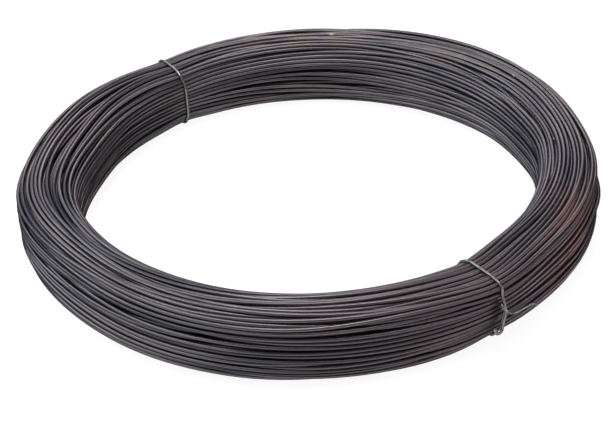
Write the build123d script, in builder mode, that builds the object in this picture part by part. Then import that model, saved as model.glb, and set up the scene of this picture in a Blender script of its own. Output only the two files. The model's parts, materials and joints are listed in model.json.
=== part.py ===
"""Coil of annealed steel wire, held together by two twisted tie wires."""

import math
import os

from build123d import *

# Coil, in millimetres: the wound bundle of turns and the single wire it is wound from
bore_diameter = 236.0
bundle_width = 32.0
coil_height = 38.0
wire_diameter = 2.1

# Section of the bundle: round shoulders above, flatter feet where it lies on the floor
shoulder_radius = 14.0
foot_radius = 11.0
crown_spread = 22.0  # degrees to each side of the crown over which single turns show
groove_share = 0.32  # depth between two turns, of the wire's diameter
lay_width = 9.4  # group of turns that stands proud of the outer side
lay_groove_share = 0.75  # depth between two such groups, of the wire's diameter
shoulder_limit_share = 0.48  # widest shoulder, of the bundle's width

# Tie wires: each loops once round the bundle and hooks into its own other end
tie_diameter = 1.6
tie_sides = 5
tie_seat_gap = 0.15
strand_gap = 0.12
tie_wrap = 45.0  # degrees of each rounded edge that a tie follows before it runs straight
tie_bend_share = 2.0  # bends beside the straight runs, of the tie's diameter
tie_angles = {"tie_wire_front": 305.0, "tie_wire_back": 124.5}  # degrees from +X

# Knot, in strand pitches (out from the bundle, up from the knot, along the coil)
# One end comes up from below, winds once round the other strand and runs off as a loose tail
tail_shares = [
    (-0.75, -3.00, 12.2),
    (-0.25, -0.90, 8.2),
    (0.90, -0.80, 4.4),
    (2.35, 0.90, 1.5),
    (2.20, 2.80, -1.5),
    (0.20, 3.60, -1.4),
    (0.00, 2.00, 1.5),
    (0.00, -1.60, 0.0),
]
# The other end comes down from the top, lifted over the first, and bends into a short hook
lift_share = 1.08
hook_shares = [
    (1.08, 0.30, 0.0),
    (1.15, -1.70, -1.9),
    (1.10, -4.40, -2.3),
    (1.35, -4.20, -4.2),
    (1.50, -2.30, -4.4),
]
knot_bend_share = 0.85  # tight bends of the knot, of the strand pitch
loose_bend_share = 3.5  # easy bends of the loose tail, of the strand pitch
loose_bends = 2
knot_room_share = 6.5  # upright wall that the knot needs, of the strand pitch

bore_radius = bore_diameter / 2
coil_radius = bore_radius + bundle_width
tie_radius = tie_diameter / 2
strand_pitch = tie_diameter + strand_gap
groove_depth = wire_diameter * groove_share
lay_groove_depth = wire_diameter * lay_groove_share

# Upright walls between the feet and the shoulders, with room for the knot
wall_room = coil_height - foot_radius - strand_pitch * knot_room_share
shoulder = min(shoulder_radius, bundle_width * shoulder_limit_share, wall_room)
shoulder_height = coil_height - shoulder
knot_height = (foot_radius + shoulder_height) / 2

# Centres of the section's rounded edges
crown_inside = (bore_radius + shoulder, shoulder_height)
crown_outside = (coil_radius - shoulder, shoulder_height)
sole_inside = bore_radius + foot_radius
sole_outside = coil_radius - foot_radius

# Tie's centre line: flush with the sole and the bore wall, so that the coil lies flat and its bore
# stays clear, and clear of the crown and the outer wall by the seat gap
tie_offset = tie_seat_gap + tie_radius
channel_gap = tie_seat_gap / 2
channel_depth = tie_diameter + channel_gap
tie_inside = bore_radius + tie_radius
tie_outside = coil_radius + tie_offset
tie_top = coil_height + tie_offset
tie_bottom = tie_radius


def ridge_points(run, pitch, groove):
    """Crests and grooves of the turns, or groups of turns, side by side along a run of the outline."""
    ridges = max(1, round(run.length / pitch))
    points = []
    for step in range(2 * ridges + 1):
        share = step / (2 * ridges)
        inward = (run % share).rotate(Axis.Z, -90)
        depth = groove if step % 2 else 0
        points.append(run @ share + inward * depth)
    return points


def tie_plane(angle):
    """Upright plane through the coil's axis: radius across, height up, normal clockwise."""
    heading = Vector(1, 0, 0).rotate(Axis.Z, angle)
    return Plane(origin=(0, 0, 0), x_dir=heading, z_dir=heading.cross(Vector(0, 0, 1)))


def knot_points(shares):
    """Points of one end of a tie in the tie's plane."""
    return [
        (
            tie_outside + out * strand_pitch,
            knot_height + up * strand_pitch,
            -along * strand_pitch,
        )
        for out, up, along in shares
    ]


def wrap_corners(center, radius, upright, level):
    """Corners of a tie that bends round a rounded edge, on its upright and on its level run."""
    side = math.copysign(1, upright - center[0])
    rise = math.copysign(1, level - center[1])
    across = side * math.sin(math.radians(tie_wrap))
    along = rise * math.cos(math.radians(tie_wrap))
    touch_x = center[0] + side * radius * math.cos(math.radians(tie_wrap))
    touch_y = center[1] + rise * radius * math.sin(math.radians(tie_wrap))
    on_upright = (upright, touch_y - (upright - touch_x) / across * along, 0)
    on_level = (touch_x - (level - touch_y) / along * across, level, 0)
    return on_upright, on_level


def tie_route(angle):
    """Centre line of a tie wire: loose tail, wind, loop under and over the bundle, hook."""
    tail = knot_points(tail_shares)
    hook = knot_points(hook_shares)
    lift = strand_pitch * lift_share
    foot_bend = foot_radius + tie_offset
    shoulder_bend = shoulder + tie_offset
    tie_bend = tie_diameter * tie_bend_share
    knot_bend = strand_pitch * knot_bend_share
    loose_bend = strand_pitch * loose_bend_share
    outer_foot = wrap_corners((sole_outside, foot_radius), foot_bend, tie_outside, tie_bottom)
    inner_foot = wrap_corners((sole_inside, foot_radius), foot_bend, tie_inside, tie_bottom)
    inner_crown = wrap_corners(crown_inside, shoulder_bend, tie_inside, tie_top)
    outer_crown = (tie_outside + lift, tie_top, 0)
    loop = [*outer_foot, *reversed(inner_foot), *inner_crown, outer_crown]
    bends = [loose_bend] * loose_bends
    bends += [knot_bend] * (len(tail) - 1 - loose_bends)
    bends += [foot_bend, tie_bend, tie_bend, tie_bend, tie_bend, shoulder_bend, shoulder_bend + lift]
    bends += [knot_bend] * (len(hook) - 1)
    with BuildLine(tie_plane(angle)) as route:
        FilletPolyline(*tail, *loop, *hook, radius=bends)
    return route.wire()


# Guide runs of the section, radius across and height up: single turns show on the crown and the sole,
# groups of turns on the outer side
with BuildLine() as crown:
    inner_arc = CenterArc(crown_inside, shoulder, 90 + crown_spread, -crown_spread)
    outer_arc = CenterArc(crown_outside, shoulder, 90, -crown_spread)
    Line(inner_arc @ 1, outer_arc @ 0)
with BuildLine() as outer_side:
    upper_arc = CenterArc(crown_outside, shoulder, 90 - crown_spread, crown_spread - 90)
    lower_arc = CenterArc((sole_outside, foot_radius), foot_radius, 0, -90)
    Line(upper_arc @ 1, lower_arc @ 0)
with BuildLine() as sole:
    Line((sole_outside - wire_diameter, 0), (sole_inside + wire_diameter, 0))

# Bundle of turns: a plain bore with round edges, ridges on both ends and the outer side, a flat ring
# of one wire's width at each side of the sole, and for each tie a shallow channel across the sole
# and up the bore
with BuildPart() as coil:
    with BuildSketch(Plane.XZ):
        with BuildLine():
            inner_foot = CenterArc((sole_inside, foot_radius), foot_radius, 270, -90, mode=Mode.PRIVATE)
            bore_top = CenterArc(crown_inside, shoulder, 180, crown_spread - 90, mode=Mode.PRIVATE)
            Polyline(
                bore_top @ 0,
                bore_top @ 0.5,
                *ridge_points(crown.wire(), wire_diameter, groove_depth),
                *ridge_points(outer_side.wire(), lay_width, lay_groove_depth)[1:],
                *ridge_points(sole.wire(), wire_diameter, groove_depth),
                inner_foot @ 0,
                inner_foot @ 0.5,
                inner_foot @ 1,
                close=True,
            )
        make_face()
    revolve(axis=Axis.Z)
    for angle in tie_angles.values():
        with BuildSketch(tie_plane(angle)):
            with Locations(((bore_radius + coil_radius) / 2, 0)):
                Rectangle(bundle_width, 2 * channel_depth)
            with Locations((bore_radius, coil_height / 2)):
                Rectangle(2 * channel_depth, coil_height)
        extrude(amount=tie_radius + channel_gap, both=True, mode=Mode.SUBTRACT)

coil.part.label = "coil"
os.makedirs("parts", exist_ok=True)
export_step(coil.part, "parts/coil.step")

# One tie wire at each place
for name, angle in tie_angles.items():
    line = tie_route(angle)
    with BuildPart() as tie:
        with BuildSketch(Plane(line @ 0, z_dir=line % 0)):
            RegularPolygon(tie_radius, tie_sides)
        sweep(path=line)
    tie.part.label = name
    export_step(tie.part, f"parts/{name}.step")
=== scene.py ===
import json
import math

import bpy
import numpy as np
from mathutils import Matrix, Vector


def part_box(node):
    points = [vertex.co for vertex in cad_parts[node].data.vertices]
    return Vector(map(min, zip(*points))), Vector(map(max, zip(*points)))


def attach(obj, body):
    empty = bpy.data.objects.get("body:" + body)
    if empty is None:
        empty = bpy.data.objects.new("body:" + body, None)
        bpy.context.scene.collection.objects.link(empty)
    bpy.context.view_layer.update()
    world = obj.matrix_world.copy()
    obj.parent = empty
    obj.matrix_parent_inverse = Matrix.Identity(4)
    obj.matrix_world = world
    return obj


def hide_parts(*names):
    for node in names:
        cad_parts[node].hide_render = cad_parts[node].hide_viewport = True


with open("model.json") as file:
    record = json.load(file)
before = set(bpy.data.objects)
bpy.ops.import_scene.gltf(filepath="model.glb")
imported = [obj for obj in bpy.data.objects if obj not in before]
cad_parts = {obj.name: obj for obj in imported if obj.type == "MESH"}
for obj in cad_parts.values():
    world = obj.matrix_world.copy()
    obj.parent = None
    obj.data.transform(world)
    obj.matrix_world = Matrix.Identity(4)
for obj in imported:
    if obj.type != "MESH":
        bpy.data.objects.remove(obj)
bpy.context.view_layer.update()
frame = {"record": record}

# Sizes from the frame, in millimetres: the lay of the wire is worked out in millimetres
MM = 0.001
coil_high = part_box("coil")[1]
mounts = {mount["name"]: mount for mount in frame["record"]["mounts"]}
bore_radius = mounts["bore"]["dims"]["r_mm"]
coil_radius = coil_high.x / MM
coil_height = coil_high.z / MM
middle_radius = (bore_radius + coil_radius) / 2

# Wire and bundle: the turns start a pitch apart, wander, and are then pushed towards the spacing
WIRE = 2.1
LAY_PITCH = 2.43
LAY_SPACING = 2.2
# Section of the drawn bundle: shares of the solid's width and height, radii of its rounded edges
WIDTH_SHARE = 0.956
HEIGHT_SHARE = 1.03
HALF_WIDTH = WIDTH_SHARE * (coil_radius - bore_radius) / 2
HEIGHT = HEIGHT_SHARE * coil_height
INNER_SHOULDER = 13.5
OUTER_SHOULDER = 8.5
FOOT = 10.0
# Under the front tie the section is squarer: outer and inner shoulder there, shift of the turns into
# the outer and the inner corner, degrees round the coil, spread in radians
TIED_OUTER_SHOULDER = 4.0
TIED_INNER_SHOULDER = 9.0
OUTER_CORNER_SHIFT = 2.4
INNER_CORNER_SHIFT = 1.6
TIED_PLACE = 306.0
TIED_SPREAD = 0.16
# Squeeze by a tie: share narrower, share lower, spread in radians; the wide pull and the pinch
SQUEEZE = [(0.02, 0.06, 0.26), (0.02, 0.08, 0.07)]
# Drop of the section's middle at a tie in millimetres, spread in radians
TIE_SINK = 1.0
TIE_SINK_SPREAD = 0.26
# Looser and tighter stretches: degrees round the coil, spread in radians, share wider, share taller
LOOSE = [
    (6.0, 0.12, -0.07, 0.00),
    (48.0, 0.45, 0.12, 0.02),
    (90.0, 0.70, 0.00, -0.03),
    (118.0, 0.25, -0.04, 0.01),
    (165.0, 0.33, 0.11, 0.00),
    (210.0, 0.40, 0.00, 0.07),
    (218.0, 0.17, -0.09, 0.00),
    (305.0, 0.14, 0.04, 0.00),
]
# Stretches that lie further in or out: degrees round the coil, spread in radians, millimetres out
PULLED = [
    (15.0, 0.15, -1.0),
    (58.0, 0.30, -1.0),
    (116.0, 0.25, 0.9),
    (163.0, 0.20, -2.7),
    (192.0, 0.16, 1.4),
    (304.0, 0.12, 0.4),
    (318.0, 0.12, -1.1),
]
# One turn that stands off the outer wall: degrees round the coil, spread in radians, millimetres out
STRAY = (347.0, 0.11, 1.7)
# Lean of the outer wall under the front tie, millimetres out at its top and in at its foot
TIED_LEAN = 2.4
# Out of round: waves round the coil, their cosine and sine as shares of the middle radius
OUT_OF_ROUND = {2: (0.0068, 0.0), 3: (-0.0038, 0.0022)}

# Lay of the turns: stations on a turn when it is laid and when it is drawn, sides of the drawn wire
STATIONS = 96
DRAWN_STATIONS = 144
SIDES = 8
PIECES = ("wire_inside", "wire_middle", "wire_outside")
# Wander of the turns: millimetres, most radians of phase from turn to turn and round the coil
GROUP_WANDER = (1.2, 1.0, 3.0)
OWN_WANDER = (1.2, np.pi, 3.5)
WANDER_WAVES = 60
# Share of the wander that a tie takes away, spread in radians
TIE_CALM = 0.55
TIE_CALM_SPREAD = 0.3
# Relaxation: rounds, share of a shortfall that each of two turns moves by, share of an overhang taken back,
# passes of smoothing in a round, neighbours that push a turn, rounds from one search for them to the next
ROUNDS = 240
PUSH = 0.45
PULL_BACK = 0.35
SMOOTHING = 2
NEIGHBOURS = 14
SEARCH_ROUNDS = 10
SEED = 7
TINY = 1e-6

# Tie wires, in millimetres: thickness, bite into the turns, pitch of two strands, height over which the
# upper strand eases off the turns, step of the drawn wire, length of a bright cut end
TIE = 1.4
TIE_BITE = 0.3
STRAND_PITCH = 1.72
TIE_EASE = 5.0
TIE_STEP = 0.5
CUT_LENGTH = 0.9
TIE_SIDES = 10
# Degrees between two points of the taut loop, steps of a smooth curve from one point to the next
LOOP_DEGREES = 3
CURVE_STEPS = 12
TIE_ANGLES = {"tie_wire_front": 305.0, "tie_wire_back": 124.5}
KNOT_HEIGHT = 17.0
# Strand pitches above and below the knot's own points that the loop leaves free
KNOT_ROOM = 1.0
# Knot, in strand pitches (out from the wall, up from the knot, along the coil)
# The lower end comes up beside the hook, winds once round the upper strand and runs off as a loose tail
TAIL = [
    (0.00, -3.20, -0.6),
    (0.00, -1.70, -0.4),
    (0.00, -0.20, 0.0),
    (0.00, 1.00, 0.3),
    (0.00, 2.20, 0.6),
    (0.00, 3.30, 0.7),
    (0.10, 4.40, -0.2),
    (1.00, 5.00, -1.5),
    (2.10, 3.60, -0.9),
    (2.10, 2.10, 0.5),
    (1.70, 1.10, 1.7),
    (1.25, 0.50, 3.2),
    (0.90, 0.20, 5.4),
    (0.50, -0.20, 7.7),
    (0.10, -0.65, 10.2),
    (-0.30, -1.90, 12.3),
]
# The upper end comes down, lifted over the wind, and bends into a short hook
LIFT = 1.08
HOOK = [
    (LIFT, 4.60, -0.5),
    (LIFT, 1.60, -0.2),
    (1.10, -0.20, -0.7),
    (1.10, -1.60, -1.1),
    (1.15, -3.20, -1.4),
    (1.30, -3.75, -2.6),
    (1.45, -3.00, -3.9),
    (1.45, -1.40, -4.4),
]

# Oxide of the wire and steel of the ties: places in the noise and their colours
OXIDE = [
    (0.28, (0.070, 0.069, 0.081)),
    (0.44, (0.115, 0.107, 0.121)),
    (0.57, (0.168, 0.148, 0.158)),
    (0.68, (0.097, 0.096, 0.112)),
    (0.78, (0.188, 0.160, 0.154)),
]
TIE_STEEL = [
    (0.3, (0.17, 0.159, 0.156)),
    (0.7, (0.29, 0.271, 0.264)),
]
BRIGHT_CUT = (0.62, 0.60, 0.57)

# Stains of the wire, and patches on the front and the right front that are partly a real tint and partly
# painted light: degrees round the coil, radius, height, reach, colour, amount
RUST = (0.26, 0.135, 0.07)
PALE = (0.50, 0.46, 0.41)
BROWN = (0.165, 0.120, 0.090)
# Reddish rust of the right front, partly real and partly painted light: the warm light on that side painted
# into the colour
REDDISH_RUST_AND_PAINTED_LIGHT = (0.180, 0.120, 0.124)
# Purple of the front: partly the oxide's own tint and partly painted light, the warm light on the front
# painted into the colour
PURPLE_TINT_AND_PAINTED_LIGHT = (0.126, 0.098, 0.107)
STAINS_AND_PAINTED_LIGHT = [
    # Purple patches on the front, partly a real tint and partly painted light: they tint the front and,
    # with less metal, make it render lighter
    (285.0, 138.0, 34.0, 75.0, PURPLE_TINT_AND_PAINTED_LIGHT, 0.5),
    (303.0, 142.0, 28.0, 45.0, PURPLE_TINT_AND_PAINTED_LIGHT, 0.6),
    # Reddish patches on the right front, partly rust and partly painted light: they tint that side and,
    # with less metal, make it render lighter
    (335.0, 146.0, 30.0, 34.0, REDDISH_RUST_AND_PAINTED_LIGHT, 0.6),
    (323.0, 150.0, 20.0, 30.0, REDDISH_RUST_AND_PAINTED_LIGHT, 0.6),
    (100.0, 135.0, 37.0, 13.0, BROWN, 0.7),
    (90.0, 132.0, 37.0, 13.0, BROWN, 0.7),
    (80.0, 129.0, 37.0, 13.0, BROWN, 0.7),
    (82.5, 136.0, 37.0, 3.0, PALE, 0.9),
    (47.2, 132.4, 38.0, 2.5, PALE, 0.9),
    (30.5, 133.8, 38.5, 2.5, PALE, 0.9),
    (128.3, 118.5, 16.7, 3.5, RUST, 1.0),
]
# Stains along single turns, with the same values
RED_SCALE = (0.21, 0.124, 0.114)
STREAKS = [
    (332.0, 148.0, 33.0, 28.0, RED_SCALE, 0.8),
    (324.0, 149.0, 27.0, 30.0, RED_SCALE, 0.8),
]
# Noise values between which a ragged stain and a streak fade in
RAGGED_EDGE = (0.3, 0.6)
STREAK_EDGE = (0.48, 0.58)

# Noises of the materials: scale for each metre, detail
TONE_NOISE = (5.0, 2.0)
WORN_NOISE = (9.0, 2.0)
RAGGED_NOISE = (420.0, 2.0)
FINE_NOISE = (900.0, 3.0)
TIE_NOISE = (160.0, 4.0)
# Gloss: share of metal in the oxide, bare and under the stains and the patches of painted light; two noises
# added and the roughness they give;
# strength of the bump and its height in millimetres
WIRE_METAL = (0.85, 0.4)
DULL_NOISE = (0.6, 1.4)
WIRE_ROUGHNESS = (0.26, 0.39)
BUMP_STRENGTH = 0.15
BUMP_HEIGHT = 0.1
TIE_METAL = 0.85
TIE_ROUGHNESS = 0.26

# Map of a tube's faces: shares kept free at the ends and sides of a strip, place of the end caps
STRIP_END_SHARE = 0.01
STRIP_SIDE_SHARE = 0.05
CAP_SHARE = 0.002

# Camera: the photograph's view, in metres, degrees and its pixels; the sensor in millimetres
CAMERA_DISTANCE = 0.938
CAMERA_ELEVATION = 32.98
CAMERA_ROLL = -3.37
FOCAL_PIXELS = 1761.0
IMAGE_SIZE = (614, 422)
ORIGIN_PIXEL = (311.4, 213.9)
SENSOR = 36.0
CLIP_START = 0.01

# Floor: half its side in metres, its grey as a surface, its own white to the camera and in the gloss
FLOOR_REACH = 6.0
FLOOR_GREY = 0.12
FLOOR_WHITE = 0.92
FLOOR_ROUGHNESS = 0.9
# World: strength as light, and the rise of a ray over which the white that gloss shows fades out
AMBIENT = 0.05
CEILING_RISE = (0.05, 0.18)
# Lamps: bearing from +X and height in degrees, width and height in metres, power in watts, colour
LAMP_DISTANCE = 1.7
LAMPS = {
    "back_left": (115.0, 24.0, 1.1, 0.6, 6.0, (0.85, 0.95, 1.0)),
    "left": (162.0, 34.0, 1.2, 0.7, 13.0, (0.85, 0.95, 1.0)),
    "left_front": (208.0, 42.0, 0.9, 0.7, 8.5, (0.92, 0.97, 1.0)),
    "above": (270.0, 88.0, 1.1, 0.9, 22.0, (1.0, 0.96, 0.95)),
    "front_right": (332.0, 36.0, 0.8, 0.8, 4.0, (1.0, 0.93, 0.93)),
    "right_low": (8.0, 7.0, 1.2, 0.2, 5.0, (1.0, 0.93, 0.93)),
    "back": (80.0, 34.0, 1.0, 0.7, 10.0, (1.0, 0.96, 0.95)),
}

rng = np.random.default_rng(SEED)
tie_radians = np.radians(list(TIE_ANGLES.values()))


# Lay of the wire


def nearness(angle, place, spread):
    """How near an angle round the coil is to a place, 1 at the place itself."""
    off = (angle - place + np.pi) % (2 * np.pi) - np.pi
    return np.exp(-0.5 * (off / spread) ** 2)


def near_ties(angle, spread):
    """How near an angle round the coil is to the ties, about 1 at a tie itself."""
    return sum(nearness(angle, tie, spread) for tie in tie_radians)


def near_front_tie(angle):
    """How near an angle round the coil is to the squarer stretch under the front tie."""
    return nearness(angle, math.radians(TIED_PLACE), TIED_SPREAD)


def looseness(angle):
    """Shares by which the bundle is wider and taller than at its plain stretches."""
    wider = np.zeros_like(angle)
    taller = np.zeros_like(angle)
    for place, spread, wide, tall in LOOSE:
        here = nearness(angle, math.radians(place), spread)
        wider += wide * here
        taller += tall * here
    return wider, taller


def section_scale(angle):
    """Width and height of the section as shares of its plain size, its outer and its inner shoulder."""
    wider, taller = looseness(angle)
    for narrow, low, spread in SQUEEZE:
        wider -= narrow * near_ties(angle, spread)
        taller -= low * near_ties(angle, spread)
    tied = near_front_tie(angle)
    outer = OUTER_SHOULDER + (TIED_OUTER_SHOULDER - OUTER_SHOULDER) * tied
    inner = INNER_SHOULDER + (TIED_INNER_SHOULDER - INNER_SHOULDER) * tied
    return np.stack([1 + wider, 1 + taller, outer, inner], -1)


def corner_shift(base, angle):
    """Shift of the turns in the section's upper corners under the front tie."""
    across = base[..., 0] / HALF_WIDTH
    up = np.clip(base[..., 1] / (HEIGHT / 2), 0, 1)
    tied = near_front_tie(angle)
    outer = OUTER_CORNER_SHIFT * (np.clip(across, 0, 1) * up) ** 2 * tied
    inner = INNER_CORNER_SHIFT * (np.clip(-across, 0, 1) * up) ** 2 * tied
    return np.stack([outer - inner, outer + inner], -1)


def section_middle(angle):
    """Height of the section's middle: plain stretches rest on the floor, squeezed ones lift off it."""
    return HEIGHT / 2 * (1 + looseness(angle)[1]) - TIE_SINK * near_ties(angle, TIE_SINK_SPREAD)


def outline_gap(points, scale, inset):
    """How far points lie outside the section's inset outline, and which way is out."""
    x, y = points[..., 0], points[..., 1]
    wide, tall = scale[..., 0], scale[..., 1]
    upper = np.where(x > 0, scale[..., 2], scale[..., 3])
    radius = np.where(y > 0, upper, FOOT) * np.minimum(wide, tall)
    over_x = np.abs(x) - (HALF_WIDTH * wide - radius)
    over_y = np.abs(y) - (HEIGHT / 2 * tall - radius)
    out_x = np.maximum(over_x, 0)
    out_y = np.maximum(over_y, 0)
    far = np.hypot(out_x, out_y)
    gap = far + np.minimum(np.maximum(over_x, over_y), 0) - radius + inset
    unit = 1 / np.maximum(far, TINY)
    return gap, out_x * unit * np.sign(x), out_y * unit * np.sign(y)


def slots():
    """Places of the turns in the section, up one column and down the next, from the bore outward."""
    step = LAY_PITCH * math.sqrt(3) / 2
    columns = int(2 * HALF_WIDTH / step)
    most = int(HEIGHT / LAY_PITCH)
    plain = np.array([1, 1, OUTER_SHOULDER, INNER_SHOULDER])
    found = []
    for number in range(columns):
        y = (np.arange(-most, most) + number % 2 / 2) * LAY_PITCH
        x = np.full_like(y, (number - (columns - 1) / 2) * step)
        column = np.stack([x, y], -1)
        column = column[outline_gap(column, plain, WIRE / 2)[0] <= 0]
        found.append(column[::-1] if number % 2 else column)
    return np.concatenate(found)


def wander_waves(angle, turn, size, turn_rate, round_rate):
    """Smooth noise of a size, round the coil and from turn to turn."""
    total = np.zeros_like(turn)
    for _ in range(WANDER_WAVES):
        rate_x, rate_y = rng.uniform(-round_rate, round_rate, 2)
        rate = rng.uniform(-turn_rate, turn_rate)
        start = rng.uniform(0, 2 * np.pi)
        total += np.cos(rate_x * np.cos(angle) + rate_y * np.sin(angle) + rate * turn + start)
    return size * (total * math.sqrt(2 / WANDER_WAVES))


def nearest(points):
    """Nearest turns of every turn, station by station."""
    turns, stations = points.shape[:2]
    found = np.empty((stations, turns, NEIGHBOURS), np.int32)
    for station in range(stations):
        here = points[:, station]
        far = ((here[:, None] - here[None]) ** 2).sum(-1)
        np.fill_diagonal(far, np.inf)
        found[station] = np.argpartition(far, NEIGHBOURS, axis=1)[:, :NEIGHBOURS]
    return found


def smooth_along(values):
    """One pass of smoothing along the whole length of the wire."""
    line = values.reshape(-1, 2)
    mean = line.copy()
    mean[1:-1] = (line[:-2] + line[2:]) / 2
    return ((line + mean) / 2).reshape(values.shape)


def lay_wire():
    """Section places of the wire's turns (turn, station, across and up), pushed apart and kept in."""
    slot = slots()
    turns = len(slot) - 1
    share = np.arange(STATIONS) / STATIONS
    angle = share * 2 * np.pi
    number = np.arange(turns)[:, None] + share
    round_angle = np.broadcast_to(angle, number.shape)
    base = slot[:-1, None] * (1 - share)[:, None] + slot[1:, None] * share[:, None]
    wander = np.stack(
        [
            wander_waves(round_angle, number, *GROUP_WANDER)
            + wander_waves(round_angle, number, *OWN_WANDER)
            for _ in range(2)
        ],
        -1,
    )
    calm = 1 - TIE_CALM * near_ties(angle, TIE_CALM_SPREAD)
    scale = section_scale(angle).astype(np.float32)
    start = base * scale[:, :2] + corner_shift(base, angle) + wander * calm[:, None]
    start = start.astype(np.float32)
    points = start.copy()
    stations = np.arange(STATIONS)[:, None, None]
    for step in range(ROUNDS):
        if step % SEARCH_ROUNDS == 0:
            near = nearest(points)
        by_station = np.swapaxes(points, 0, 1)
        away = by_station[:, :, None] - by_station[stations, near]
        far = np.sqrt((away**2).sum(-1)) + TINY
        push = np.maximum(LAY_SPACING - far, 0) / far
        points = points + PUSH * np.swapaxes((away * push[..., None]).sum(2), 0, 1)
        gap, out_x, out_y = outline_gap(points, scale, WIRE / 2)
        back = PULL_BACK * np.maximum(gap, 0)
        points = points - np.stack([out_x * back, out_y * back], -1)
        moved = points - start
        for _ in range(SMOOTHING):
            moved = smooth_along(moved)
        points = start + moved
    return points


def refined(points):
    """The laid points on more stations, by a smooth curve along the wire."""
    line = points.reshape(-1, 2).astype(float)
    last = len(line) - 1
    place = np.arange(0, last, STATIONS / DRAWN_STATIONS)
    index = np.minimum(place.astype(int), last - 1)
    part = (place - index)[:, None]
    before = line[np.maximum(index - 1, 0)]
    here = line[index]
    after = line[index + 1]
    beyond = line[np.minimum(index + 2, last)]
    slope = (after - before) / 2
    next_slope = (beyond - here) / 2
    return (
        (2 * part**3 - 3 * part**2 + 1) * here
        + (part**3 - 2 * part**2 + part) * slope
        + (3 * part**2 - 2 * part**3) * after
        + (part**3 - part**2) * next_slope
    )


def ring_middle(angle):
    """Radius of the bundle's middle line, a little out of round."""
    total = np.ones_like(angle)
    for order, (across, along) in OUT_OF_ROUND.items():
        total += across * np.cos(order * angle) + along * np.sin(order * angle)
    pulled = sum(out * nearness(angle, math.radians(place), spread) for place, spread, out in PULLED)
    return middle_radius * total + pulled


def placed(angle, across, up):
    """Radius and height of places in the section at an angle round the coil."""
    tied = near_front_tie(angle)
    outward = np.clip(0.5 + across / (2 * HALF_WIDTH), 0, 1)
    lean = TIED_LEAN * tied * outward * up / (HEIGHT / 2)
    return ring_middle(angle) + across + lean, section_middle(angle) + up


# Meshes


def new_piece(name, verts, quads, caps, uvs, material):
    """A smooth mesh object from arrays of points, four-sided faces and flat end caps."""
    mesh = bpy.data.meshes.new(name)
    corners = np.concatenate([quads.ravel(), np.concatenate(caps)])
    sizes = np.concatenate([np.full(len(quads), 4), [len(cap) for cap in caps]])
    starts = np.concatenate([[0], np.cumsum(sizes)[:-1]])
    mesh.vertices.add(len(verts))
    mesh.loops.add(len(corners))
    mesh.polygons.add(len(sizes))
    mesh.vertices.foreach_set("co", (verts * MM).astype(np.float32).ravel())
    mesh.loops.foreach_set("vertex_index", corners.astype(np.int32))
    mesh.polygons.foreach_set("loop_start", starts.astype(np.int32))
    mesh.update(calc_edges=True)
    smooth = np.ones(len(sizes), bool)
    smooth[len(quads):] = False
    mesh.polygons.foreach_set("use_smooth", smooth)
    layer = mesh.uv_layers.new(name="OFBake")
    layer.data.foreach_set("uv", uvs.astype(np.float32).ravel())
    mesh.validate()
    mesh.materials.append(material)
    piece = bpy.data.objects.new(name, mesh)
    bpy.context.scene.collection.objects.link(piece)
    return piece


def tube(centres, side_a, side_b, radius, sides):
    """Points, faces and caps of a tube: rings round the centres, spanned by two directions."""
    turn = np.arange(sides) / sides * 2 * np.pi
    rings = (
        centres[:, None]
        + radius * np.cos(turn)[:, None] * side_a[:, None]
        + radius * np.sin(turn)[:, None] * side_b[:, None]
    )
    count = len(centres)
    first = np.arange(count - 1)[:, None] * sides
    a = first + np.arange(sides)
    b = first + (np.arange(sides) + 1) % sides
    quads = np.stack([a, b, b + sides, a + sides], -1).reshape(-1, 4)
    caps = [np.arange(sides)[::-1], np.arange(sides) + (count - 1) * sides]
    return rings.reshape(-1, 3), quads, caps


def strip_uvs(count, sides, rows, row_length):
    """A map of the tube's faces as strips in rows, one row for each stretch of the wire."""
    step = np.arange(count - 1)
    row = step // row_length
    along = (step - row * row_length) / row_length
    strip_length = 1 - 2 * STRIP_END_SHARE
    strip_width = 1 - 2 * STRIP_SIDE_SHARE
    left = STRIP_END_SHARE + strip_length * along
    right = STRIP_END_SHARE + strip_length * (along + 1 / row_length)
    side = np.arange(sides)
    low = (row[:, None] + STRIP_SIDE_SHARE + strip_width * side / sides) / rows
    high = (row[:, None] + STRIP_SIDE_SHARE + strip_width * (side + 1) / sides) / rows
    left = np.broadcast_to(left[:, None], low.shape)
    right = np.broadcast_to(right[:, None], low.shape)
    quad = np.stack(
        [
            np.stack([left, low], -1),
            np.stack([left, high], -1),
            np.stack([right, high], -1),
            np.stack([right, low], -1),
        ],
        2,
    )
    caps = np.full((2 * sides, 2), CAP_SHARE)
    return np.concatenate([quad.reshape(-1, 2), caps])


def add_values(piece, name, values):
    """A named number on every point of a piece, for its material."""
    attribute = piece.data.attributes.new(name, "FLOAT", "POINT")
    attribute.data.foreach_set("value", values.astype(np.float32))


# Materials


def node(tree, kind, links=None, **settings):
    """A shader node with its settings and input links or values."""
    made = tree.nodes.new(kind)
    for key, value in settings.items():
        setattr(made, key, value)
    for key, value in (links or {}).items():
        if isinstance(value, bpy.types.NodeSocket):
            tree.links.new(value, made.inputs[key])
        else:
            made.inputs[key].default_value = value
    return made


def combined(tree, operation, first, second):
    """Two numbers combined by an operation."""
    return node(tree, "ShaderNodeMath", {0: first, 1: second}, operation=operation).outputs[0]


def ranged(tree, value, given, wanted, **settings):
    """A number taken from one range to another, and kept inside it."""
    limits = {"From Min": given[0], "From Max": given[1], "To Min": wanted[0], "To Max": wanted[1]}
    return node(tree, "ShaderNodeMapRange", {"Value": value, **limits}, **settings).outputs["Result"]


def noise_along(tree, along, scale, detail):
    """Noise along the wire's own length."""
    inputs = {"W": along, "Scale": scale, "Detail": detail}
    return node(tree, "ShaderNodeTexNoise", inputs, noise_dimensions="1D").outputs["Fac"]


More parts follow.
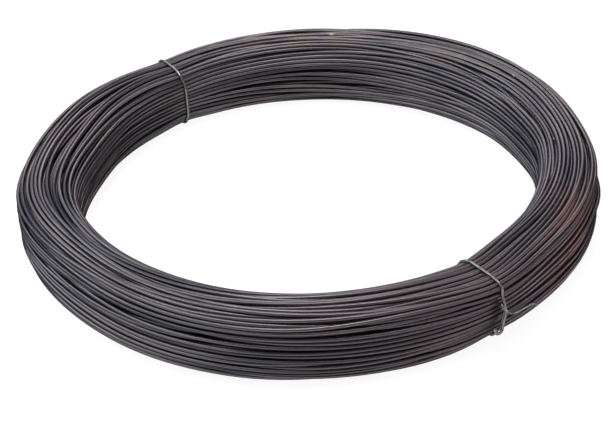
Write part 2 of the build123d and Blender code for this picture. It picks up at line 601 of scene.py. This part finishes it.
def noise_in_space(tree, place, scale, detail):
    """Noise by the place in space."""
    inputs = {"Vector": place, "Scale": scale, "Detail": detail}
    return node(tree, "ShaderNodeTexNoise", inputs).outputs["Fac"]


def new_material(name):
    """An empty material with its principled shader."""
    material = bpy.data.materials.new(name)
    material.use_nodes = True
    return material, material.node_tree, material.node_tree.nodes["Principled BSDF"]


def ramp(tree, factor, stops):
    """A colour ramp with the given stops."""
    made = node(tree, "ShaderNodeValToRGB", {"Fac": factor})
    elements = made.color_ramp.elements
    while len(elements) < len(stops):
        elements.new(0.5)
    for element, (place, colour) in zip(elements, stops):
        element.position = place
        element.color = (*colour, 1)
    return made.outputs["Color"]


def mixed(tree, share, first, second):
    """A colour that turns from the first to the second by a share."""
    made = node(tree, "ShaderNodeMix", data_type="RGBA")
    for socket, value in (("Factor_Float", share), ("A_Color", first), ("B_Color", second)):
        target = next(found for found in made.inputs if found.identifier == socket)
        if isinstance(value, bpy.types.NodeSocket):
            tree.links.new(value, target)
        else:
            target.default_value = (*value, 1)
    return next(found for found in made.outputs if found.identifier == "Result_Color")


def metal_only(shader):
    """Leaves the shader the gloss of its metal, with no clear gloss over it."""
    shader.inputs["Specular IOR Level"].default_value = 0.0
    shader.inputs["Specular Tint"].default_value = (0.0, 0.0, 0.0, 1)


def spot(tree, place, degrees, radius, height, reach, ragged, amount):
    """Share of a stain or of a patch of painted light round a place on the coil, ragged by a noise."""
    turn = math.radians(degrees)
    centre = (radius * math.cos(turn) * MM, radius * math.sin(turn) * MM, height * MM)
    far = node(tree, "ShaderNodeVectorMath", {0: place, 1: centre}, operation="DISTANCE").outputs["Value"]
    near = ranged(tree, far, (0.0, reach * MM), (1.0, 0.0), interpolation_type="SMOOTHSTEP")
    torn = ranged(tree, ragged, RAGGED_EDGE, (0.0, amount))
    return combined(tree, "MULTIPLY", near, torn)


def annealed_wire():
    """Dark oxide on annealed steel: grey, brown and blue stretches along the wire, stains, patches on the
    front and the right front that are partly a real tint and partly painted light, fine scale.
    """
    material, tree, shader = new_material("annealed_wire")
    along = node(tree, "ShaderNodeAttribute", attribute_name="along").outputs["Fac"]
    place = node(tree, "ShaderNodeTexCoord").outputs["Object"]
    colour = ramp(tree, noise_along(tree, along, *TONE_NOISE), OXIDE)
    ragged = noise_in_space(tree, place, *RAGGED_NOISE)
    worn = noise_along(tree, along, *WORN_NOISE)
    streaky = ranged(tree, worn, STREAK_EDGE, RAGGED_EDGE)
    patch_cover = None
    # The patches on the front and the right front paint light into the colour and take metal off, so that
    # those sides render lighter and warmer
    stains_and_light = [(ragged, stain_and_light) for stain_and_light in STAINS_AND_PAINTED_LIGHT] + [(streaky, streak) for streak in STREAKS]
    for torn, (degrees, radius, height, reach, stain_and_light, amount) in stains_and_light:
        share = spot(tree, place, degrees, radius, height, reach, torn, amount)
        colour = mixed(tree, share, colour, stain_and_light)
        if patch_cover is not None:
            share = combined(tree, "MAXIMUM", patch_cover, share)
        patch_cover = share
    tree.links.new(colour, shader.inputs["Base Color"])
    metal = ranged(tree, patch_cover, (0.0, 1.0), WIRE_METAL)
    tree.links.new(metal, shader.inputs["Metallic"])
    fine = noise_in_space(tree, place, *FINE_NOISE)
    dull = combined(tree, "ADD", worn, fine)
    rough = ranged(tree, dull, DULL_NOISE, WIRE_ROUGHNESS)
    tree.links.new(rough, shader.inputs["Roughness"])
    relief = {"Height": fine, "Strength": BUMP_STRENGTH, "Distance": BUMP_HEIGHT * MM}
    bump = node(tree, "ShaderNodeBump", relief)
    tree.links.new(bump.outputs["Normal"], shader.inputs["Normal"])
    metal_only(shader)
    return material


def tie_wire():
    """Paler grey steel of the ties, bright at their cut ends."""
    material, tree, shader = new_material("tie_wire")
    place = node(tree, "ShaderNodeTexCoord").outputs["Object"]
    colour = ramp(tree, noise_in_space(tree, place, *TIE_NOISE), TIE_STEEL)
    cut = node(tree, "ShaderNodeAttribute", attribute_name="cut").outputs["Fac"]
    tree.links.new(mixed(tree, cut, colour, BRIGHT_CUT), shader.inputs["Base Color"])
    shader.inputs["Metallic"].default_value = TIE_METAL
    shader.inputs["Roughness"].default_value = TIE_ROUGHNESS
    metal_only(shader)
    return material


# The coil


def stray_turn(points):
    """Number of the turn that stands off the outer wall: the outermost one just above mid height."""
    here = points[:, round(STRAY[0] / 360 * STATIONS)]
    upper = (here[:, 1] > 0) & (here[:, 1] < HEIGHT / 4)
    return np.argmax(np.where(upper, here[:, 0], -HALF_WIDTH))


def build_coil(points, material):
    """The whole wire as lengths that follow on each other, from the bore outward."""
    line = refined(points)
    place = np.arange(len(line)) / DRAWN_STATIONS
    angle = place * 2 * np.pi
    radial = np.stack([np.cos(angle), np.sin(angle), np.zeros_like(angle)], -1)
    radius, level = placed(angle, line[:, 0], line[:, 1])
    stray_place, stray_spread, stray_out = STRAY
    astray = np.abs(place - stray_turn(points) - stray_place / 360) < 0.5
    radius += stray_out * astray * nearness(angle, math.radians(stray_place), stray_spread)
    centres = radial * radius[:, None]
    centres[:, 2] = np.maximum(level, WIRE / 2)
    upright = np.zeros_like(centres)
    upright[:, 2] = 1
    turns = len(points)
    cuts = [number * turns // len(PIECES) for number in range(len(PIECES) + 1)]
    for name, first, last in zip(PIECES, cuts, cuts[1:]):
        span = slice(first * DRAWN_STATIONS, min(last * DRAWN_STATIONS + 1, len(line)))
        verts, quads, caps = tube(centres[span], upright[span], radial[span], WIRE / 2, SIDES)
        count = len(centres[span])
        uvs = strip_uvs(count, SIDES, last - first, DRAWN_STATIONS)
        piece = new_piece(name, verts, quads, caps, uvs, material)
        length = place[span] * 2 * np.pi * middle_radius * MM
        add_values(piece, "along", np.repeat(length, SIDES))
        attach(piece, "root")
        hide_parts("coil")


# The ties


def hull(points):
    """Corners of the outline that a taut tie takes round a set of points, anticlockwise."""
    ordered = sorted(map(tuple, points))

    def half(row):
        chain = []
        for point in row:
            while len(chain) > 1:
                (ax, ay), (bx, by) = chain[-2:]
                if (bx - ax) * (point[1] - ay) - (by - ay) * (point[0] - ax) > 0:
                    break
                chain.pop()
            chain.append(point)
        return chain[:-1]

    return np.array(half(ordered) + half(ordered[::-1]))


def loop_round(points, clearance):
    """A tie's way round the section, from the outer wall down, inward, up and over the top."""
    corners = hull(points)
    ways = -np.radians(np.arange(0, 360, LOOP_DEGREES))
    out = np.stack([np.cos(ways), np.sin(ways)], -1)
    touch = corners[np.argmax(corners @ out.T, axis=0)]
    return touch + out * clearance


def smooth_path(points, step):
    """Evenly spaced points on a smooth curve through the given ones."""
    ends = np.concatenate([[2 * points[0] - points[1]], points, [2 * points[-1] - points[-2]]])
    t = np.linspace(0, 1, CURVE_STEPS, endpoint=False)[:, None]
    fine = []
    for a, b, c, d in zip(ends, ends[1:], ends[2:], ends[3:]):
        fine.append(
            0.5
            * (2 * b + (c - a) * t + (2 * a - 5 * b + 4 * c - d) * t**2 + (3 * b - a - 3 * c + d) * t**3)
        )
    line = np.concatenate(fine + [points[-1:]])
    length = np.concatenate([[0], np.cumsum(np.linalg.norm(np.diff(line, axis=0), axis=1))])
    even = np.linspace(0, length[-1], int(length[-1] / step) + 1)
    return np.stack([np.interp(even, length, line[:, axis]) for axis in range(3)], -1)


def frames_along(line):
    """Two directions across a line at every point, without twist."""
    way = np.gradient(line, axis=0)
    way /= np.linalg.norm(way, axis=1)[:, None]
    across = np.cross(way[0], (0, 0, 1.0))
    across /= np.linalg.norm(across)
    side_a = []
    for heading in way:
        across = across - heading * (across @ heading)
        across /= np.linalg.norm(across)
        side_a.append(across)
    side_a = np.array(side_a)
    return side_a, np.cross(way, side_a)


def tied_section(points, degrees):
    """Radius and height of the turns at a tie."""
    place = degrees / 360 * STATIONS
    station = int(place)
    part = place - station
    section = points[:, station] * (1 - part) + points[:, station + 1] * part
    angle = np.full(len(section), math.radians(degrees))
    return np.stack(placed(angle, section[:, 0], section[:, 1]), -1)


def knot_end(shares, wall):
    """One end of a tie on the outer wall, as radius, height and distance along the coil."""
    return [
        (wall + out * STRAND_PITCH, KNOT_HEIGHT + up * STRAND_PITCH, along * STRAND_PITCH)
        for out, up, along in shares
    ]


def tie_route(section):
    """A tie's points, as radius, height and distance along the coil: tail, wind, taut loop, hook."""
    loop = loop_round(section, WIRE / 2 + TIE / 2 - TIE_BITE)
    loop[:, 1] = np.maximum(loop[:, 1], TIE / 2)
    wall = loop[:, 0].max()
    outer = loop[:, 0] > middle_radius
    below = loop[:, 1] < KNOT_HEIGHT + (TAIL[0][1] - KNOT_ROOM) * STRAND_PITCH
    above = loop[:, 1] > KNOT_HEIGHT + (HOOK[0][1] + KNOT_ROOM) * STRAND_PITCH
    kept = loop[~outer | below | above]
    below_knot = np.argmax(kept[:, 0] * (kept[:, 1] < KNOT_HEIGHT))
    kept = np.roll(kept, -below_knot, axis=0)
    outward = np.clip((kept[:, 0] - middle_radius) / (wall - middle_radius), 0, 1)
    upper = kept[:, 1] > KNOT_HEIGHT
    near_knot = np.clip(1 - (kept[:, 1] - KNOT_HEIGHT - HOOK[0][1] * STRAND_PITCH) / TIE_EASE, 0, 1)
    lift = LIFT * STRAND_PITCH * near_knot * outward * upper
    along = np.where(upper, HOOK[0][2], TAIL[0][2]) * STRAND_PITCH * outward
    taut = list(zip(kept[:, 0] + lift, kept[:, 1], along))
    return np.array(knot_end(TAIL[::-1], wall) + taut + knot_end(HOOK, wall), float)


def build_tie(name, degrees, points, material):
    """One tie wire: taut round the bundle, its ends hooked into each other outside."""
    line = smooth_path(tie_route(tied_section(points, degrees)), TIE_STEP)
    angle = math.radians(degrees)
    radial = np.array([math.cos(angle), math.sin(angle), 0])
    tangent = np.array([-math.sin(angle), math.cos(angle), 0])
    line = line[:, :1] * radial + line[:, 2:] * tangent + line[:, 1:2] * np.array([0, 0, 1.0])
    side_a, side_b = frames_along(line)
    verts, quads, caps = tube(line, side_a, side_b, TIE / 2, TIE_SIDES)
    uvs = strip_uvs(len(line), TIE_SIDES, 1, len(line) - 1)
    piece = new_piece(name + "_loop", verts, quads, caps, uvs, material)
    step = np.arange(len(line)) * TIE_STEP
    to_end = np.minimum(step, step[-1] - step)
    add_values(piece, "cut", np.repeat(np.clip(1 - to_end / CUT_LENGTH, 0, 1), TIE_SIDES))
    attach(piece, "root")
    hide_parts(name)


# Stage, light and camera


def background_ray(tree):
    """1 for the rays that show the background: from the camera, off gloss and through glass."""
    path = node(tree, "ShaderNodeLightPath").outputs
    seen = path["Is Camera Ray"]
    for name in ("Is Glossy Ray", "Is Transmission Ray"):
        seen = combined(tree, "MAXIMUM", seen, path[name])
    return seen


def build_stage():
    """A plain pale floor that runs out of view, white to the camera, with the coil's shadow."""
    mesh = bpy.data.meshes.new("floor")
    signs = [(-1, -1), (1, -1), (1, 1), (-1, 1)]
    corners = [(FLOOR_REACH * across, FLOOR_REACH * along, 0) for across, along in signs]
    mesh.from_pydata(corners, [], [(0, 1, 2, 3)])
    floor = bpy.data.objects.new("floor", mesh)
    bpy.context.scene.collection.objects.link(floor)
    material, tree, shader = new_material("floor")
    shader.inputs["Base Color"].default_value = (FLOOR_GREY, FLOOR_GREY, FLOOR_GREY, 1)
    shader.inputs["Roughness"].default_value = FLOOR_ROUGHNESS
    tree.links.new(background_ray(tree), shader.inputs["Emission Strength"])
    shader.inputs["Emission Color"].default_value = (FLOOR_WHITE, FLOOR_WHITE, FLOOR_WHITE, 1)
    mesh.materials.append(material)


def build_world():
    """White to the camera, a white surround under a darker ceiling to the gloss, a soft grey as light."""
    world = bpy.data.worlds.new("studio")
    bpy.context.scene.world = world
    world.use_nodes = True
    tree = world.node_tree
    background = tree.nodes["Background"]
    heading = node(tree, "ShaderNodeTexCoord").outputs["Generated"]
    upward = node(tree, "ShaderNodeSeparateXYZ", {"Vector": heading}).outputs["Z"]
    low = ranged(tree, upward, CEILING_RISE, (1.0, 0.0))
    camera = node(tree, "ShaderNodeLightPath").outputs["Is Camera Ray"]
    white = combined(tree, "MAXIMUM", low, camera)
    shown = combined(tree, "MULTIPLY", background_ray(tree), white)
    strength = ranged(tree, shown, (0.0, 1.0), (AMBIENT, 1.0))
    background.inputs["Color"].default_value = (1, 1, 1, 1)
    tree.links.new(strength, background.inputs["Strength"])


def add_lamp(name, degrees, rise, width, height, power, colour):
    """A soft lamp that shines at the coil from a bearing and a height in degrees."""
    flat = math.cos(math.radians(rise)) * LAMP_DISTANCE
    level = math.sin(math.radians(rise)) * LAMP_DISTANCE
    bearing = math.radians(degrees)
    place = (flat * math.cos(bearing), flat * math.sin(bearing), level)
    lamp = bpy.data.lights.new(name, "AREA")
    lamp.shape = "RECTANGLE"
    lamp.size = width
    lamp.size_y = height
    lamp.energy = power
    lamp.color = colour
    light = bpy.data.objects.new(name, lamp)
    light.location = place
    light.rotation_euler = (-Vector(place)).to_track_quat("-Z", "Y").to_euler()
    bpy.context.scene.collection.objects.link(light)


def build_camera():
    """The photograph's view: its height, its lens and its small roll."""
    rise = math.radians(CAMERA_ELEVATION)
    roll = math.radians(CAMERA_ROLL)
    forward = Vector((0, math.cos(rise), -math.sin(rise)))
    level = Vector((1, 0, 0))
    upward = level.cross(forward)
    right = level * math.cos(roll) + upward * math.sin(roll)
    up = upward * math.cos(roll) - level * math.sin(roll)
    pixel = CAMERA_DISTANCE / FOCAL_PIXELS
    start = -forward * CAMERA_DISTANCE
    aim = right * (IMAGE_SIZE[0] / 2 - ORIGIN_PIXEL[0]) * pixel
    aim += up * (ORIGIN_PIXEL[1] - IMAGE_SIZE[1] / 2) * pixel
    forward = (aim - start).normalized()
    right = (right - forward * right.dot(forward)).normalized()
    up = right.cross(forward)
    data = bpy.data.cameras.new("camera")
    data.sensor_width = SENSOR
    data.lens = FOCAL_PIXELS * SENSOR / IMAGE_SIZE[0]
    data.clip_start = CLIP_START
    camera = bpy.data.objects.new("camera", data)
    turned = Matrix((right, up, -forward)).transposed().to_4x4()
    camera.matrix_world = Matrix.Translation(start) @ turned
    bpy.context.scene.collection.objects.link(camera)
    bpy.context.scene.camera = camera


laid = lay_wire()
build_coil(laid, annealed_wire())
tie_material = tie_wire()
for tie_name, tie_angle in TIE_ANGLES.items():
    build_tie(tie_name, tie_angle, laid, tie_material)
build_stage()
build_world()
for lamp_name, lamp_values in LAMPS.items():
    add_lamp(lamp_name, *lamp_values)
build_camera()
bpy.context.scene.view_settings.view_transform = "Standard"
